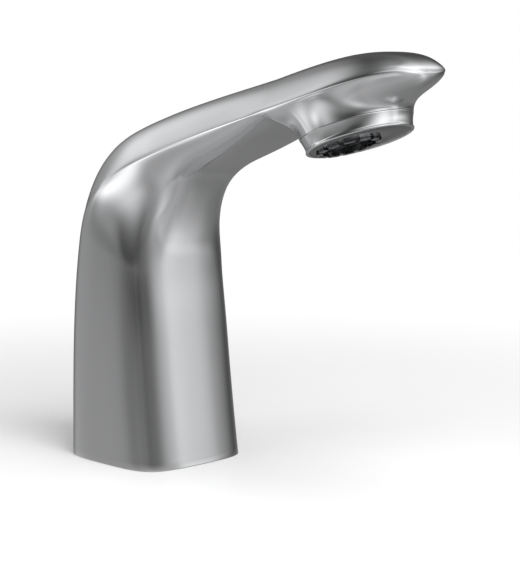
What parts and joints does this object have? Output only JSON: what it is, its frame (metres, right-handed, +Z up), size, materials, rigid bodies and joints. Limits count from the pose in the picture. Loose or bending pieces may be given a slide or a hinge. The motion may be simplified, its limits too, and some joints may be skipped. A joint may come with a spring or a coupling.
{
  "type": "sensor tap",
  "caption": "Touch-free basin tap: a leaning column that runs on into a spout with a sharp side crease and a tilted outlet; sensor, valve and battery cells inside.",
  "frame": {"origin": "centre of the column's base, on the deck it stands on", "axes": "+X towards the outlet and the user, +Y to the tap's left, +Z up"},
  "size_m": [0.175, 0.056, 0.164],
  "materials": {
    "chrome_body": "bright chrome plate over cast brass",
    "chrome_collar": "bright chrome plate, turned",
    "smoked_cover": "smoked, infrared-clear, polished",
    "carrier_grey": "moulded, fine grain",
    "aerator_ring": "chrome-plated, slotted rim",
    "aerator_grid": "moulded grid",
    "steel": "stainless, drawn or turned",
    "rubber_black": "moulded rubber",
    "board_green": "coated circuit board with dark chips",
    "lens_clear": "clear bluish epoxy",
    "lens_dark": "infrared-clear dark epoxy",
    "lead_black": "flexible jacket",
    "tube_white": "semi-clear hose",
    "brass": "machined",
    "white_plastic": "moulded",
    "disc_grey": "moulded",
    "bonnet_black": "glass-filled, moulded",
    "coil_black": "overmoulded winding",
    "cell_sleeve": "printed sleeve without text",
    "holder_black": "moulded",
    "contact_gold": "plated spring strip"
  },
  "bodies": {
    "tap": {"body": "chrome_body", "collar": "chrome_collar", "face_cover": "smoked_cover", "nozzle_carrier": "carrier_grey", "carrier_screws": "steel", "carrier_seal": "rubber_black", "aerator_housing": "aerator_ring", "aerator_core": "aerator_grid", "aerator_gasket": "rubber_black", "sensor_board": "board_green", "ir_emitter": "lens_clear", "ir_receiver": "lens_dark", "sensor_lead": "lead_black", "water_tube": "tube_white", "base_plate": "brass", "base_screws": "steel", "base_gasket": "rubber_black", "lead_grommet": "rubber_black", "inlet_filter": "white_plastic", "check_housing": "white_plastic", "valve_block": "brass", "inlet_seal": "rubber_black", "diaphragm": "rubber_black", "bonnet": "bonnet_black", "core_tube": "brass", "coil": "coil_black", "coil_yoke": "steel", "battery_cells": "cell_sleeve", "cell_holder": "holder_black", "cell_contacts": "contact_gold", "control_board": "board_green"},
    "plunger_body": {"plunger": "steel", "plunger_spring": "steel"},
    "valve_disc_body": {"valve_disc": "disc_grey"},
    "check_poppet_body": {"check_poppet": "disc_grey", "check_spring": "steel"}
  },
  "joints": [
    {"name": "plunger_lift", "type": "slide", "parent": "tap", "child": "plunger_body", "axis": [0, 0, 1], "range_m": [0, 0.0015], "stiffness_N_per_m": 40, "springref_m": -0.001, "deforming": ["plunger_spring"]},
    {"name": "valve_disc_lift", "type": "slide", "parent": "tap", "child": "valve_disc_body", "axis": [0, 0, 1], "range_m": [0, 0.0015]},
    {"name": "check_poppet_lift", "type": "slide", "parent": "tap", "child": "check_poppet_body", "axis": [0, 0, 1], "range_m": [0, 0.002], "stiffness_N_per_m": 3, "springref_m": -0.001, "deforming": ["check_spring"]}
  ]
}
